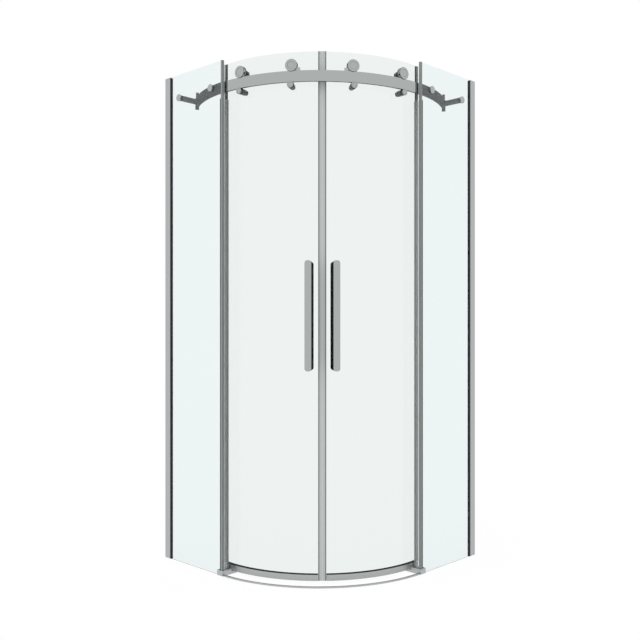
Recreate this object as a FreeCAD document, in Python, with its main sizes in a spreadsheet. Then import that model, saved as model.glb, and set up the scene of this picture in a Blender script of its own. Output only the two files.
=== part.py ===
import FreeCAD, Part
import math
import os
from types import SimpleNamespace

import Sketcher

# Corner shower enclosure: two flat fixed panels and two curved doors that slide on a curved rail.
# Millimetres, +Z up. The origin is on the floor, at the middle of the square that the enclosure covers.
# The walls are the planes x = -450 and y = +450. Left and right are as seen from outside, on the diagonal.
# "Along" is measured along a fixed panel from its wall, and "across" from the other wall towards the panel.

# Driving dimensions
DRIVING_SIZES = {
    "side_length": 900,
    "overall_height": 1950,
    "arc_centre": 358,
    "glass_thickness": 6,
    "fixed_glass_face": 895,
    "fixed_glass_start": 14,
    "fixed_glass_end": 361.5,
    "wall_profile_depth": 32.5,
    "wall_profile_width": 12,
    "wall_profile_wall": 2,
    "wall_profile_web": 3,
    "wall_profile_height": 1947,
    "wall_screw_radius": 2.75,
    "wall_screw_first": 150,
    "wall_screw_pitch": 550,
    "profile_cap_thickness": 3,
    "gasket_lip": 7.5,
    "edge_profile_start": 355.5,
    "edge_profile_end": 364.5,
    "edge_profile_width": 9,
    "seal_sheet": 2,
    "overlap_flange_start": 345.5,
    "overlap_fin_face": 357.5,
    "overlap_lip_start": 334,
    "overlap_reach": 29.5,
    "overlap_top": 1808,
    "rail_radius": 525,
    "rail_thickness": 10,
    "rail_bottom": 1832,
    "rail_height": 40,
    "rail_half_angle": 75,
    "fixing_height": 1858,
    "spacer_along": 292,
    "rod_along": 90,
    "spacer_radius": 11,
    "rod_radius": 11,
    "fixing_cap_radius": 14,
    "fixing_cap_edge": 1,
    "stud_radius": 4,
    "stud_start": 870,
    "thread_gap": 0.1,
    "washer_thickness": 1,
    "glass_hole_radius": 6.5,
    "stop_inner_radius": 512,
    "stop_outer_radius": 526,
    "stop_thickness": 12,
    "stop_bottom": 1827,
    "bumper_thickness": 10,
    "bumper_height": 20,
    "closing_stop_start": 8.9,
    "closing_stop_end": 10.4,
    "closing_stop_height": 11,
    "closing_pin_radius": 3,
    "closing_pin_depth": 8,
    "guide_start": 338,
    "guide_end": 370,
    "guide_inner": 828,
    "guide_height": 20,
    "guide_floor": 10,
    "guide_gap": 1.4,
    "liner_thickness": 2,
    "threshold_radius": 540,
    "threshold_width": 9,
    "threshold_height": 5,
    "threshold_edge": 1.5,
    "threshold_half_angle": 43.6,
    "door_radius": 491,
    "door_bottom": 13,
    "door_start_angle": 0.95,
    "door_end_angle": 49,
    "bottom_profile_width": 16,
    "bottom_profile_height": 22,
    "bottom_profile_wall": 4,
    "bottom_profile_base": 2,
    "bottom_profile_start_angle": 1.85,
    "bottom_profile_end_angle": 48.1,
    "bottom_gasket_base": 1.5,
    "bottom_gasket_lip": 1.5,
    "bottom_gasket_setback": 0.5,
    "seal_depth": 12,
    "seal_slot_gap": 0.35,
    "meeting_gap": 0.3,
    "meeting_seal_end": 14.8,
    "meeting_slot_start": 7.8,
    "magnet_start": 1.6,
    "magnet_end": 6.2,
    "magnet_half_depth": 3.9,
    "magnet_gap": 0.1,
    "trailing_seal_grip": 6.3,
    "trailing_seal_nose": 3,
    "hook_reach": 19,
    "hook_length": 20,
    "hook_bottom": 40,
    "handle_angle": 5.65,
    "handle_middle": 982,
    "handle_length": 402,
    "handle_width": 25,
    "handle_depth": 41,
    "handle_wall": 5,
    "handle_corner": 10,
    "handle_edge": 1.5,
    "finger_length": 300,
    "handle_bolt_offset": 175,
    "handle_bolt_radius": 3,
    "handle_bolt_head": 5,
    "handle_bolt_reach": 28,
    "handle_washer_radius": 8,
    "lead_angle": 12.45,
    "tail_angle": 35.8,
    "keeper_setback": 0.4,
    "running_gap": 0.3,
    "groove_half_width": 5.6,
    "flange_thickness": 1.9,
    "roller_radius": 20,
    "keeper_radius": 9,
    "flange_height": 2.5,
    "keeper_flange_height": 3.5,
    "wheel_edge": 0.8,
    "cover_depth": 1.6,
    "roller_cover_radius": 14,
    "keeper_cover_radius": 8,
    "axle_radius": 4,
    "axle_fit": 0.05,
    "axle_head_radius": 7,
    "keeper_head_radius": 5.5,
    "axle_head_depth": 1.8,
    "axle_play": 0.4,
    "axle_stud_radius": 5,
    "bush_radius": 13.5,
    "keeper_bush_radius": 11,
    "axle_cap_setback": 2,
    "axle_cap_depth": 5,
    "axle_cap_wall": 1.2,
    "concave_seat": 0.2,
    "rail_hole_start": 853,
    "rod_trim_reach": 130,
    "cut_overrun": 1,
}

DIAGONAL = -45
QUARTER_TURN = 90
WALL_SCREWS = 4
SAME_POSITION = 1e-3


class Size:
    """A length or angle that knows its number and the sheet formula that it comes from."""

    def __init__(self, value, formula):
        self.value = value
        self.formula = formula

    def __add__(self, other):
        other = as_size(other)
        return Size(self.value + other.value, f"({self.formula} + {other.formula})")

    def __sub__(self, other):
        other = as_size(other)
        return Size(self.value - other.value, f"({self.formula} - {other.formula})")

    def __mul__(self, other):
        other = as_size(other)
        return Size(self.value * other.value, f"({self.formula} * {other.formula})")

    def __truediv__(self, other):
        other = as_size(other)
        return Size(self.value / other.value, f"({self.formula} / {other.formula})")

    def __neg__(self):
        return Size(-self.value, f"(0 - {self.formula})")

    def __rsub__(self, other):
        return as_size(other) - self


def as_size(amount):
    if isinstance(amount, Size):
        return amount
    return Size(amount, f"({amount})")


# Document and sheet
doc = FreeCAD.newDocument("shower_enclosure")
sheet = doc.addObject("Spreadsheet::Sheet", "Sizes")
for row, (alias, amount) in enumerate(DRIVING_SIZES.items(), start=1):
    sheet.set(f"A{row}", alias)
    sheet.set(f"B{row}", str(amount))
    sheet.setAlias(f"B{row}", alias)
doc.recompute()
size = SimpleNamespace(**{alias: Size(amount, f"Sizes.{alias}") for alias, amount in DRIVING_SIZES.items()})

# Sizes that several pieces share
half_side = size.side_length / 2
arc_x = size.arc_centre - half_side
arc_y = half_side - size.arc_centre
fixed_inner_face = size.fixed_glass_face - size.glass_thickness
fixed_middle = size.fixed_glass_face - size.glass_thickness / 2
rail_inner_radius = size.rail_radius - size.rail_thickness
rail_middle_radius = size.rail_radius - size.rail_thickness / 2
rail_top = size.rail_bottom + size.rail_height
door_inner_radius = size.door_radius - size.glass_thickness
door_middle_radius = size.door_radius - size.glass_thickness / 2
outer_seat = size.door_radius + size.washer_thickness
inner_washer_face = door_inner_radius - size.concave_seat
inner_seat = inner_washer_face - size.washer_thickness
wheel_half_width = size.groove_half_width + size.flange_thickness
wheel_inner_face = rail_middle_radius - wheel_half_width
wheel_outer_face = rail_middle_radius + wheel_half_width
roller_height = rail_top + size.roller_radius + size.running_gap
keeper_height = size.rail_bottom - size.keeper_radius - size.running_gap

nodes = []


# Sides
class Side:
    """One half of the enclosure: its plan, and the sign of angles that lead away from the diagonal."""

    def __init__(self, name, sign):
        self.name = name
        self.sign = sign

    def node(self, piece):
        return f"{self.name}_{piece}"

    def plan(self, along, across):
        if self.sign > 0:
            return (across - half_side, half_side - along)
        return (along - half_side, half_side - across)

    def arc_angle(self, angle):
        return as_size(DIAGONAL) + as_size(angle) * self.sign


LEFT = Side("left", -1)
RIGHT = Side("right", 1)
SIDES = (LEFT, RIGHT)


# Placing
def place(part, x, y, z, angle):
    for path, amount in (("Base.x", x), ("Base.y", y), ("Base.z", z), ("Rotation.Angle", angle)):
        part.setExpression(f"Placement.{path}", as_size(amount).formula)
    return part


def place_on_arc(part, side, angle, height=0):
    """The part's X axis points out from the arc's axis, at an angle from the diagonal."""
    return place(part, arc_x, arc_y, height, side.arc_angle(angle))


def place_on_panel(part, side, along, height):
    """The part's X axis runs across, out through the fixed panel."""
    if side.sign > 0:
        return place(part, -half_side, half_side - along, height, 0)
    return place(part, along - half_side, half_side, height, -QUARTER_TURN)


def place_on_wall(part, side, across, height):
    """The part's X axis runs along the fixed panel, away from its wall."""
    if side.sign > 0:
        return place(part, across - half_side, half_side, height, -QUARTER_TURN)
    return place(part, -half_side, half_side - across, height, 0)


# Making solids
def keep(part, name):
    part.Label = name
    nodes.append(part)
    return part


def new_body(name):
    return doc.addObject("PartDesign::Body", name)


def new_sketch(body, plane_role, offset=0):
    sketch = body.newObject("Sketcher::SketchObject", f"{body.Name}_sketch")
    plane = next(feature for feature in body.Origin.OriginFeatures if feature.Role == plane_role)
    sketch.AttachmentSupport = (plane, [""])
    sketch.MapMode = "FlatFace"
    sketch.setExpression("AttachmentOffset.Base.z", as_size(offset).formula)
    return sketch


def hold(sketch, direction, line, amount):
    number = sketch.addConstraint(Sketcher.Constraint(direction, -1, 1, line, 1, amount.value))
    sketch.setExpression(f"Constraints[{number}]", amount.formula)


def draw_loop(sketch, corners):
    """A closed outline of straight lines, with each corner held at its distance from the origin."""
    corners = [(as_size(across), as_size(up)) for across, up in corners]
    first = sketch.GeometryCount
    count = len(corners)
    points = [FreeCAD.Vector(across.value, up.value, 0) for across, up in corners]
    for index in range(count):
        sketch.addGeometry(Part.LineSegment(points[index], points[(index + 1) % count]), False)
    for index in range(count):
        following = first + (index + 1) % count
        sketch.addConstraint(Sketcher.Constraint("Coincident", first + index, 2, following, 1))
    for index, (across, up) in enumerate(corners):
        hold(sketch, "DistanceX", first + index, across)
        hold(sketch, "DistanceY", first + index, up)


def draw_circle(sketch, distance, radius):
    """A circle with its middle on the sketch's first axis."""
    middle = FreeCAD.Vector(distance.value, 0, 0)
    number = sketch.addGeometry(Part.Circle(middle, FreeCAD.Vector(0, 0, 1), radius.value), False)
    sketch.addConstraint(Sketcher.Constraint("PointOnObject", number, 3, -1))
    away = sketch.addConstraint(Sketcher.Constraint("DistanceX", -1, 1, number, 3, distance.value))
    sketch.setExpression(f"Constraints[{away}]", distance.formula)
    across = sketch.addConstraint(Sketcher.Constraint("Radius", number, radius.value))
    sketch.setExpression(f"Constraints[{across}]", radius.formula)


def add_pad(body, plane_role, loops, start, length):
    sketch = new_sketch(body, plane_role, start)
    for corners in loops:
        draw_loop(sketch, corners)
    pad = body.newObject("PartDesign::Pad", f"{body.Name}_pad")
    pad.Profile = sketch
    pad.setExpression("Length", as_size(length).formula)
    return pad


def upright(name, loops, bottom, height):
    """A section in plan, drawn up to a height."""
    body = new_body(name)
    add_pad(body, "XY_Plane", loops, bottom, height)
    return body


def pin(name, distance, radius, bottom, height):
    """An upright round pin at a distance from the arc's axis."""
    body = new_body(name)
    sketch = new_sketch(body, "XY_Plane", bottom)
    draw_circle(sketch, distance, radius)
    pad = body.newObject("PartDesign::Pad", f"{name}_pad")
    pad.Profile = sketch
    pad.setExpression("Length", as_size(height).formula)
    return body


def ring(name, section, start_angle, end_angle, side=RIGHT):
    """A section of radius and height, turned about the arc's axis between two angles from the diagonal."""
    body = new_body(name)
    sketch = new_sketch(body, "XZ_Plane")
    draw_loop(sketch, section)
    turn = body.newObject("PartDesign::Revolution", f"{name}_turn")
    turn.Profile = sketch
    turn.ReferenceAxis = (sketch, ["V_Axis"])
    turn.Midplane = True
    turn.setExpression("Angle", (as_size(end_angle) - start_angle).formula)
    return place_on_arc(body, side, (as_size(start_angle) + end_angle) / 2)


def spindle(name, half_section):
    """A half section of distance and radius, turned about the part's X axis."""
    body = new_body(name)
    sketch = new_sketch(body, "XZ_Plane")
    draw_loop(sketch, half_section)
    turn = body.newObject("PartDesign::Revolution", f"{name}_turn")
    turn.Profile = sketch
    turn.ReferenceAxis = (sketch, ["H_Axis"])
    return body


def rod(name, start, end, radius):
    return spindle(name, [(start, 0), (end, 0), (end, radius), (start, radius)])


def sleeve(name, start, end, bore, radius):
    return spindle(name, [(start, bore), (end, bore), (end, radius), (start, radius)])


def rectangle(low_x, high_x, low_y, high_y):
    return [(low_x, low_y), (high_x, low_y), (high_x, high_y), (low_x, high_y)]


def panel_box(name, side, along, across, bottom, height):
    box = doc.addObject("Part::Box", name)
    near = side.plan(along[0], across[0])
    far = side.plan(along[1], across[1])
    low_x, high_x = (near[0], far[0])
    low_y, high_y = (far[1], near[1])
    box.setExpression("Length", (high_x - low_x).formula)
    box.setExpression("Width", (high_y - low_y).formula)
    box.setExpression("Height", as_size(height).formula)
    return place(box, low_x, low_y, bottom, 0)


def group(name, parts):
    compound = doc.addObject("Part::Compound", name)
    compound.Links = parts
    return compound


def cut(name, blank, tools):
    result = doc.addObject("Part::Cut", name)
    result.Base = blank
    result.Tool = tools[0] if len(tools) == 1 else group(f"{name}_tools", tools)
    return result


# Wall profiles, caps and glazing gaskets
profile_inner = fixed_middle - size.wall_profile_width / 2
profile_outer = fixed_middle + size.wall_profile_width / 2


def wall_profile(side):
    depth = size.wall_profile_depth
    web = size.wall_profile_web
    channel_inner = profile_inner + size.wall_profile_wall
    channel_outer = profile_outer - size.wall_profile_wall
    section = [
        (0, profile_inner), (depth, profile_inner), (depth, channel_inner), (web, channel_inner),
        (web, channel_outer), (depth, channel_outer), (depth, profile_outer), (0, profile_outer),
    ]
    outline = [side.plan(as_size(along), across) for along, across in section]
    blank = upright(side.node("wall_profile_blank"), [outline], 0, size.wall_profile_height)
    holes = []
    for index in range(WALL_SCREWS):
        drill = rod(side.node(f"wall_drill_{index}"), -size.cut_overrun, web + size.cut_overrun,
                    size.wall_screw_radius)
        height = size.wall_screw_first + size.wall_screw_pitch * index
        holes.append(place_on_wall(drill, side, fixed_middle, height))
    return keep(cut(side.node("wall_profile"), blank, holes), side.node("wall_profile"))


def profile_cap(side):
    depth = size.wall_profile_depth
    section = [
        (0, profile_inner), (depth, profile_inner), (depth, fixed_inner_face),
        (size.fixed_glass_start, fixed_inner_face), (size.fixed_glass_start, size.fixed_glass_face),
        (depth, size.fixed_glass_face), (depth, profile_outer), (0, profile_outer),
    ]
    outline = [side.plan(as_size(along), across) for along, across in section]
    bottom = size.wall_profile_height
    return upright(side.node("profile_cap"), [outline], bottom, size.profile_cap_thickness)


def glazing_gasket(side):
    depth = size.wall_profile_depth
    lip = depth + size.gasket_lip
    back = size.fixed_glass_start - size.gasket_lip
    channel_inner = profile_inner + size.wall_profile_wall
    channel_outer = profile_outer - size.wall_profile_wall
    section = [
        (back, channel_inner), (depth, channel_inner), (depth, profile_inner), (lip, profile_inner),
        (lip, fixed_inner_face), (size.fixed_glass_start, fixed_inner_face),
        (size.fixed_glass_start, size.fixed_glass_face), (lip, size.fixed_glass_face),
        (lip, profile_outer), (depth, profile_outer), (depth, channel_outer), (back, channel_outer),
    ]
    outline = [side.plan(along, across) for along, across in section]
    gasket = upright(side.node("glazing_gasket"), [outline], 0, size.wall_profile_height)
    return keep(gasket, side.node("glazing_gasket"))


# Fixed panels
def fixed_glass(side):
    along = (size.fixed_glass_start, size.fixed_glass_end)
    across = (fixed_inner_face, size.fixed_glass_face)
    blank = panel_box(side.node("fixed_glass_blank"), side, along, across, 0, size.overall_height)
    holes = []
    for index, position in enumerate((size.spacer_along, size.rod_along)):
        drill = rod(side.node(f"panel_drill_{index}"), fixed_inner_face - size.cut_overrun,
                    size.fixed_glass_face + size.cut_overrun, size.glass_hole_radius)
        holes.append(place_on_panel(drill, side, position, size.fixing_height))
    return keep(cut(side.node("fixed_glass"), blank, holes), side.node("fixed_glass"))


edge_inner = fixed_middle - size.edge_profile_width / 2
edge_outer = fixed_middle + size.edge_profile_width / 2


def edge_profile(side):
    start = size.edge_profile_start
    end = size.edge_profile_end
    section = [
        (start, edge_inner), (end, edge_inner), (end, edge_outer), (start, edge_outer),
        (start, size.fixed_glass_face), (size.fixed_glass_end, size.fixed_glass_face),
        (size.fixed_glass_end, fixed_inner_face), (start, fixed_inner_face),
    ]
    outline = [side.plan(along, across) for along, across in section]
    height = size.overall_height - size.guide_height
    profile = upright(side.node("edge_profile"), [outline], size.guide_height, height)
    return keep(profile, side.node("edge_profile"))


def overlap_seal(side):
    sheet_size = size.seal_sheet
    start = size.edge_profile_start
    face = size.overlap_fin_face
    tip = edge_inner - size.overlap_reach
    flange_back = fixed_inner_face - sheet_size
    step_back = edge_inner - sheet_size
    section = [
        (size.overlap_flange_start, fixed_inner_face), (start, fixed_inner_face), (start, edge_inner),
        (face, edge_inner), (face, tip), (size.overlap_lip_start, tip),
        (size.overlap_lip_start, tip + sheet_size), (face - sheet_size, tip + sheet_size),
        (face - sheet_size, step_back), (start - sheet_size, step_back), (start - sheet_size, flange_back),
        (size.overlap_flange_start, flange_back),
    ]
    outline = [side.plan(along, across) for along, across in section]
    height = size.overlap_top - size.guide_height
    seal = upright(side.node("overlap_seal"), [outline], size.guide_height, height)
    return keep(seal, side.node("overlap_seal"))


# Rail and what carries it
def rail_drill(side):
    bore = size.stud_radius + size.thread_gap
    drill = rod(side.node("rail_drill"), size.rail_hole_start, fixed_inner_face, bore)
    return place_on_panel(drill, side, size.spacer_along, size.fixing_height)


closing_stop_middle = (size.closing_stop_start + size.closing_stop_end) / 2


def closing_pin(side, name, clearance):
    """The pin that holds a closing stop, or with clearance the hole for it in the rail's top."""
    depth = size.closing_pin_depth + clearance
    radius = size.closing_pin_radius + clearance
    shank = pin(side.node(name), rail_middle_radius, radius, rail_top - depth, depth)
    return place_on_arc(shank, side, closing_stop_middle)


def closing_stop(side):
    """A block on the rail's top that the lead roller meets when the doors are closed."""
    section = rectangle(rail_inner_radius, size.rail_radius, rail_top, rail_top + size.closing_stop_height)
    stop = doc.addObject("Part::Fuse", side.node("closing_stop"))
    stop.Base = ring(side.node("closing_stop_block"), section, size.closing_stop_start,
                     size.closing_stop_end, side)
    stop.Tool = closing_pin(side, "closing_stop_pin", as_size(0))
    return stop


def roller_rail():
    section = rectangle(rail_inner_radius, size.rail_radius, size.rail_bottom, rail_top)
    blank = ring("roller_rail_blank", section, -size.rail_half_angle, size.rail_half_angle)
    holes = [rail_drill(side) for side in SIDES]
    holes.extend(closing_pin(side, "closing_pin_drill", size.thread_gap) for side in SIDES)
    return keep(cut("roller_rail", blank, holes), "roller_rail")


panel_seat = fixed_inner_face - size.washer_thickness


def rail_spacer(side):
    blank = sleeve(side.node("rail_spacer_blank"), size.stud_start, panel_seat,
                   size.stud_radius + size.thread_gap, size.spacer_radius)
    place_on_panel(blank, side, size.spacer_along, size.fixing_height)
    rail_face = doc.addObject("Part::Cylinder", side.node("rail_face"))
    rail_face.setExpression("Radius", size.rail_radius.formula)
    rail_face.setExpression("Height", size.rail_height.formula)
    place(rail_face, arc_x, arc_y, size.rail_bottom, 0)
    return cut(side.node("rail_spacer"), blank, [rail_face])


def rail_rod(side):
    start = size.arc_centre + size.rail_radius * math.cos(math.radians(QUARTER_TURN / 2))
    bore = size.stud_radius + size.thread_gap
    half_section = [
        (start, 0), (size.stud_start, 0), (size.stud_start, bore), (panel_seat, bore),
        (panel_seat, size.rod_radius), (start, size.rod_radius),
    ]
    blank = spindle(side.node("rail_rod_blank"), half_section)
    place_on_panel(blank, side, size.rod_along, size.fixing_height)
    reach = size.rod_trim_reach
    behind = rectangle(size.stop_outer_radius - reach, size.stop_outer_radius, -reach, reach)
    stop_face = upright(side.node("rod_trim"), [behind], size.stop_bottom, rail_top - size.stop_bottom)
    place_on_arc(stop_face, side, size.rail_half_angle)
    return keep(cut(side.node("rail_rod"), blank, [stop_face]), side.node("rail_rod"))


FIXING_PLACES = [(side, along) for side in SIDES for along in (size.spacer_along, size.rod_along)]


def fixing_cap(name):
    seat = size.fixed_glass_face + size.washer_thickness
    bore = size.stud_radius + size.thread_gap
    bore_end = size.side_length - size.fixing_cap_edge
    return spindle(name, [
        (seat, bore), (bore_end, bore), (bore_end, 0), (size.side_length, 0),
        (size.side_length, size.fixing_cap_radius - size.fixing_cap_edge),
        (bore_end, size.fixing_cap_radius), (seat, size.fixing_cap_radius),
    ])


def rail_fixings():
    caps = []
    studs = []
    washers = []
    stud_end = size.side_length - size.fixing_cap_edge - size.thread_gap
    washer_bore = size.stud_radius + size.thread_gap * 2
    for index, (side, along) in enumerate(FIXING_PLACES):
        cap = fixing_cap(f"fixing_cap_{index}")
        stud = rod(f"fixing_stud_{index}", size.stud_start, stud_end, size.stud_radius)
        outside = sleeve(f"outside_washer_{index}", size.fixed_glass_face,
                         size.fixed_glass_face + size.washer_thickness, washer_bore, size.fixing_cap_radius)
        inside = sleeve(f"inside_washer_{index}", panel_seat, fixed_inner_face, washer_bore,
                        size.spacer_radius)
        for part in (cap, stud, outside, inside):
            place_on_panel(part, side, along, size.fixing_height)
        caps.append(cap)
        studs.append(stud)
        washers.extend((outside, inside))
    keep(group("rail_fixing_caps", caps), "rail_fixing_caps")
    keep(group("rail_fixing_studs", studs), "rail_fixing_studs")
    keep(group("rail_fixing_washers", washers), "rail_fixing_washers")


def end_stop(side):
    section = rectangle(size.stop_inner_radius, size.stop_outer_radius, 0, size.stop_thickness * side.sign)
    stop = upright(side.node("end_stop"), [section], size.stop_bottom, rail_top - size.stop_bottom)
    return keep(place_on_arc(stop, side, size.rail_half_angle), side.node("end_stop"))


def bumper(side):
    """A block on the rail's end that the tail roller meets when a door is fully open."""
    reach = -size.bumper_thickness * side.sign
    section = rectangle(rail_inner_radius, size.rail_radius, reach, 0)
    pad = upright(side.node("bumper"), [section], rail_top, size.bumper_height)
    return place_on_arc(pad, side, size.rail_half_angle)


# Floor pieces
guide_slot_middle = size.arc_centre + door_middle_radius
guide_slot_half = size.bottom_profile_width / 2 + size.guide_gap + size.liner_thickness
guide_slot_low = guide_slot_middle - guide_slot_half
guide_slot_high = guide_slot_middle + guide_slot_half


def floor_guide(side):
    start = size.guide_start - size.cut_overrun
    end = size.guide_end + size.cut_overrun
    blank = panel_box(side.node("guide_blank"), side, (size.guide_start, size.guide_end),
                      (size.guide_inner, size.side_length), 0, size.guide_height)
    door_slot = panel_box(side.node("guide_door_slot"), side, (start, end),
                          (guide_slot_low, guide_slot_high), size.guide_floor, size.guide_height)
    glass_slot = panel_box(side.node("guide_glass_slot"), side, (start, size.fixed_glass_end),
                           (fixed_inner_face, size.fixed_glass_face),
                           -size.cut_overrun, size.guide_height + size.cut_overrun * 2)
    return keep(cut(side.node("floor_guide"), blank, [door_slot, glass_slot]), side.node("floor_guide"))


def guide_liner_pair(side):
    along = (size.guide_start, size.guide_end)
    height = size.guide_height - size.guide_floor
    inner = panel_box(side.node("inner_liner"), side, along,
                      (guide_slot_low, guide_slot_low + size.liner_thickness), size.guide_floor, height)
    outer = panel_box(side.node("outer_liner"), side, along,
                      (guide_slot_high - size.liner_thickness, guide_slot_high), size.guide_floor, height)
    return [inner, outer]


def threshold_strip():
    outer = size.threshold_radius
    top = size.threshold_height
    section = [
        (outer - size.threshold_width, 0), (outer, 0), (outer, top - size.threshold_edge),
        (outer - size.threshold_edge, top), (outer - size.threshold_width, top),
    ]
    strip = ring("threshold_strip", section, -size.threshold_half_angle, size.threshold_half_angle)
    return keep(strip, "threshold_strip")


# Doors
AXLE_ANGLES = {"lead": size.lead_angle, "tail": size.tail_angle}
HANDLE_BOLT_HEIGHTS = (
    size.handle_middle - size.handle_bolt_offset,
    size.handle_middle + size.handle_bolt_offset,
)


def door_glass(side):
    bottom = size.door_bottom + size.bottom_profile_base + size.bottom_gasket_base
    section = rectangle(door_inner_radius, size.door_radius, bottom, size.overall_height)
    blank = ring(side.node("door_glass_blank"), section, size.door_start_angle, size.door_end_angle, side)
    places = [(size.handle_angle, height) for height in HANDLE_BOLT_HEIGHTS]
    places.extend((angle, wheel.height) for position, angle, wheel in WHEEL_PLACES)
    holes = []
    for index, (angle, height) in enumerate(places):
        drill = rod(side.node(f"door_drill_{index}"), door_inner_radius - size.washer_thickness, outer_seat,
                    size.glass_hole_radius)
        holes.append(place_on_arc(drill, side, angle, height))
    return keep(cut(side.node("door_glass"), blank, holes), side.node("door_glass"))


seal_inner = door_middle_radius - size.seal_depth / 2
seal_outer = door_middle_radius + size.seal_depth / 2
slot_inner = door_inner_radius - size.seal_slot_gap
slot_outer = size.door_radius + size.seal_slot_gap
door_height = size.overall_height - size.door_bottom


def mirrored(side, corners):
    return [(radius, as_size(step) * side.sign) for radius, step in corners]


def meeting_seal(side):
    start = size.meeting_gap
    end = size.meeting_seal_end
    slot = size.meeting_slot_start
    outline = mirrored(side, [
        (seal_inner, start), (seal_outer, start), (seal_outer, end), (slot_outer, end),
        (slot_outer, slot), (slot_inner, slot), (slot_inner, end), (seal_inner, end),
    ])
    reach = size.magnet_half_depth + size.magnet_gap
    pocket_start = size.magnet_start - size.magnet_gap
    pocket_end = size.magnet_end + size.magnet_gap
    pocket = mirrored(side, rectangle(door_middle_radius - reach, door_middle_radius + reach,
                                      pocket_start, pocket_end))
    seal = upright(side.node("meeting_seal"), [outline, pocket], size.door_bottom, door_height)
    return keep(place_on_arc(seal, side, 0), side.node("meeting_seal"))


def seal_magnet(side):
    outline = mirrored(side, rectangle(door_middle_radius - size.magnet_half_depth,
                                       door_middle_radius + size.magnet_half_depth,
                                       size.magnet_start, size.magnet_end))
    margin = size.seal_sheet
    bottom = size.door_bottom + margin
    strip = upright(side.node("seal_magnet"), [outline], bottom, door_height - margin * 2)
    return keep(place_on_arc(strip, side, 0), side.node("seal_magnet"))


def trailing_seal(side):
    grip = -size.trailing_seal_grip
    nose = size.trailing_seal_nose
    slot = size.seal_slot_gap
    outline = mirrored(side, [
        (seal_inner, grip), (slot_inner, grip), (slot_inner, slot), (slot_outer, slot),
        (slot_outer, grip), (seal_outer, grip), (seal_outer, nose), (seal_inner, nose),
    ])
    seal = upright(side.node("trailing_seal"), [outline], size.door_bottom, door_height)
    sheet_size = size.seal_sheet
    tip = seal_outer + size.hook_reach
    hook = mirrored(side, [
        (seal_outer, -sheet_size), (tip, -sheet_size), (tip, -size.hook_length - sheet_size),
        (tip - sheet_size, -size.hook_length - sheet_size), (tip - sheet_size, -sheet_size * 2),
        (seal_outer, -sheet_size * 2),
    ])
    add_pad(seal, "XY_Plane", [hook], size.hook_bottom, size.overlap_top - size.hook_bottom)
    return keep(place_on_arc(seal, side, size.door_end_angle), side.node("trailing_seal"))


bottom_inner = door_middle_radius - size.bottom_profile_width / 2
bottom_outer = door_middle_radius + size.bottom_profile_width / 2
bottom_top = size.door_bottom + size.bottom_profile_height
channel_floor = size.door_bottom + size.bottom_profile_base
channel_inner_radius = bottom_inner + size.bottom_profile_wall
channel_outer_radius = bottom_outer - size.bottom_profile_wall


def bottom_profile(side):
    section = [
        (bottom_inner, size.door_bottom), (bottom_outer, size.door_bottom), (bottom_outer, bottom_top),
        (channel_outer_radius, bottom_top), (channel_outer_radius, channel_floor),
        (channel_inner_radius, channel_floor), (channel_inner_radius, bottom_top),
        (bottom_inner, bottom_top),
    ]
    profile = ring(side.node("bottom_profile"), section, size.bottom_profile_start_angle,
                   size.bottom_profile_end_angle, side)
    return keep(profile, side.node("bottom_profile"))


def bottom_gasket(side):
    glass_seat = channel_floor + size.bottom_gasket_base
    lip_top = bottom_top + size.bottom_gasket_lip
    lip_inner = bottom_inner + size.bottom_gasket_setback
    lip_outer = bottom_outer - size.bottom_gasket_setback
    section = [
        (channel_inner_radius, channel_floor), (channel_outer_radius, channel_floor),
        (channel_outer_radius, bottom_top), (lip_outer, bottom_top), (lip_outer, lip_top),
        (size.door_radius, lip_top), (size.door_radius, glass_seat), (door_inner_radius, glass_seat),
        (door_inner_radius, lip_top), (lip_inner, lip_top), (lip_inner, bottom_top),
        (channel_inner_radius, bottom_top),
    ]
    gasket = ring(side.node("bottom_gasket"), section, size.bottom_profile_start_angle,
                  size.bottom_profile_end_angle, side)
    return keep(gasket, side.node("bottom_gasket"))


# Handles
def edge_names(shape, wanted):
    return [f"Edge{number}" for number, edge in enumerate(shape.Edges, start=1) if wanted(edge)]


def add_fillet(body, base, radius, wanted):
    doc.recompute()
    fillet = body.newObject("PartDesign::Fillet", f"{body.Name}_fillet")
    fillet.Base = (base, edge_names(base.Shape, wanted))
    fillet.setExpression("Radius", radius.formula)
    return fillet


def is_along_x(edge):
    start, end = (vertex.Point for vertex in edge.Vertexes)
    return abs(start.y - end.y) < SAME_POSITION and abs(start.z - end.z) < SAME_POSITION


def lies_at_x(edge, distance):
    return all(abs(vertex.Point.x - distance) < SAME_POSITION for vertex in edge.Vertexes)


def handle(side, name, low_radius, face_radius):
    """A bar with rounded ends, hollowed from the glass and open on the side away from the meeting edge."""
    half_width = size.handle_width / 2
    bottom = size.handle_middle - size.handle_length / 2
    body = new_body(side.node(f"{name}_blank"))
    outline = rectangle(-half_width, half_width, bottom, bottom + size.handle_length)
    pad = add_pad(body, "YZ_Plane", [outline], low_radius, size.handle_depth)
    corners = add_fillet(body, pad, size.handle_corner, is_along_x)
    add_fillet(body, corners, size.handle_edge, lambda edge: lies_at_x(edge, face_radius.value))
    outward = face_radius.value > low_radius.value
    recess = body.newObject("PartDesign::SubtractiveBox", f"{body.Name}_recess")
    recess_start = low_radius if outward else low_radius + size.handle_wall
    open_side = half_width - size.handle_wall
    recess_side = -open_side if side.sign > 0 else -half_width
    recess.setExpression("Length", (size.handle_depth - size.handle_wall).formula)
    recess.setExpression("Width", (size.handle_width - size.handle_wall).formula)
    recess.setExpression("Height", size.finger_length.formula)
    place(recess, recess_start, recess_side, size.handle_middle - size.finger_length / 2, 0)
    body.Tip = recess
    place_on_arc(body, side, size.handle_angle)
    return cut(side.node(name), body, handle_bolt_drills(side, name, outward))


handle_inner_face = inner_seat - size.handle_depth
handle_head_end = handle_inner_face + size.handle_bolt_head
handle_bolt_end = outer_seat + size.handle_bolt_reach


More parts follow.
